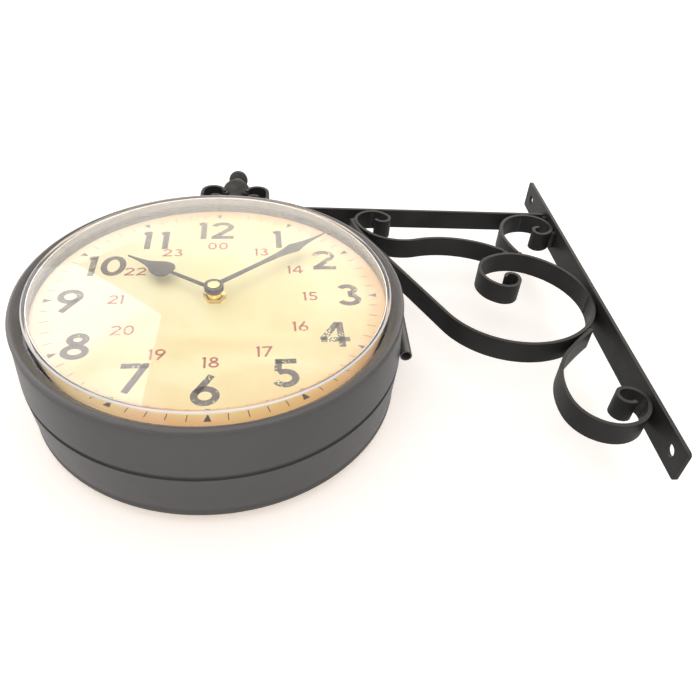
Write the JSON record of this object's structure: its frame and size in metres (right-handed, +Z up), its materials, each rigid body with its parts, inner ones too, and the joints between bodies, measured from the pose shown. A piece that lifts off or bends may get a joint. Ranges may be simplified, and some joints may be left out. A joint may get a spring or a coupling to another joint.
{
  "type": "double sided station clock",
  "caption": "Round clock with a dial on each side, hung by a stud from the bar of a scrolled flat-iron wall bracket with a turned finial.",
  "frame": {"origin": "midway between the two screw holes, on the back face of the wall plate", "axes": "+X into the wall, -Y towards the viewer of the front dial, +Z up"},
  "size_m": [0.3174, 0.0648, 0.2785],
  "materials": {
    "black_iron": "satin black paint over hammered flat bar",
    "zinc_steel": "zinc plated",
    "case_paint": "satin charcoal paint on spun sheet",
    "dial_print": "printed aged cream, matt",
    "seal_rubber": "black rubber",
    "clear_lens": "clear moulded acrylic",
    "movement_plastic": "moulded",
    "cell_wrap": "plain printed wrap",
    "brass": "turned",
    "bright_steel": "turned",
    "hand_paint": "grey black paint on stamped sheet"
  },
  "bodies": {
    "bracket": {"wall_plate": "black_iron", "top_bar": "black_iron", "main_scroll": "black_iron", "upper_scroll": "black_iron", "corner_scroll": "black_iron", "lower_scroll": "black_iron", "weld_beads": "black_iron", "finial_bud": "black_iron", "finial_scrolls": "black_iron", "hanger_stud": "black_iron", "hanger_lock_nut": "black_iron", "hanger_end_nut": "zinc_steel"},
    "drum": {"joint_band": "case_paint", "side_sleeve": "case_paint", "hanger_collar": "black_iron", "case_shell_front": "case_paint", "case_shell_back": "case_paint", "dial_front": "dial_print", "dial_back": "dial_print", "dial_ring_front": "zinc_steel", "dial_ring_back": "zinc_steel", "lens_seal_front": "seal_rubber", "lens_seal_back": "seal_rubber", "lens_front": "clear_lens", "lens_back": "clear_lens", "movement_front": "movement_plastic", "movement_back": "movement_plastic", "cell_front": "cell_wrap", "cell_back": "cell_wrap", "bush_front": "brass", "bush_back": "brass", "dial_nut_front": "brass", "dial_nut_back": "brass"},
    "minute_front": {"minute_hand_front": "hand_paint", "minute_arbor_front": "bright_steel", "hand_cap_front": "brass"},
    "hour_front": {"hour_hand_front": "hand_paint", "hour_pipe_front": "brass"},
    "knob_front": {"setting_knob_front": "movement_plastic"},
    "minute_back": {"minute_hand_back": "hand_paint", "minute_arbor_back": "bright_steel", "hand_cap_back": "brass"},
    "hour_back": {"hour_hand_back": "hand_paint", "hour_pipe_back": "brass"},
    "knob_back": {"setting_knob_back": "movement_plastic"}
  },
  "joints": [
    {"name": "drum_swivel", "type": "hinge", "parent": "bracket", "child": "drum", "pos_m": [-0.219, 0, 0.058], "axis": [0, 0, 1], "continuous": true},
    {"name": "minute_front_turn", "type": "hinge", "parent": "drum", "child": "minute_front", "pos_m": [-0.219, -0.0293, -0.036], "axis": [0, 1, 0], "continuous": true},
    {"name": "hour_front_turn", "type": "hinge", "parent": "drum", "child": "hour_front", "pos_m": [-0.219, -0.0273, -0.036], "axis": [0, 1, 0], "continuous": true},
    {"name": "knob_front_turn", "type": "hinge", "parent": "drum", "child": "knob_front", "pos_m": [-0.206, -0.003, -0.023], "axis": [0, 1, 0], "continuous": true},
    {"name": "minute_back_turn", "type": "hinge", "parent": "drum", "child": "minute_back", "pos_m": [-0.219, 0.0293, -0.036], "axis": [0, -1, 0], "continuous": true},
    {"name": "hour_back_turn", "type": "hinge", "parent": "drum", "child": "hour_back", "pos_m": [-0.219, 0.0273, -0.036], "axis": [0, -1, 0], "continuous": true},
    {"name": "knob_back_turn", "type": "hinge", "parent": "drum", "child": "knob_back", "pos_m": [-0.206, 0.003, -0.023], "axis": [0, -1, 0], "continuous": true}
  ],
  "couplings": [
    {"joint": "hour_front_turn", "follows": "minute_front_turn", "ratio": 0.083333},
    {"joint": "knob_front_turn", "follows": "minute_front_turn", "ratio": -1},
    {"joint": "hour_back_turn", "follows": "minute_back_turn", "ratio": 0.083333},
    {"joint": "knob_back_turn", "follows": "minute_back_turn", "ratio": -1}
  ]
}
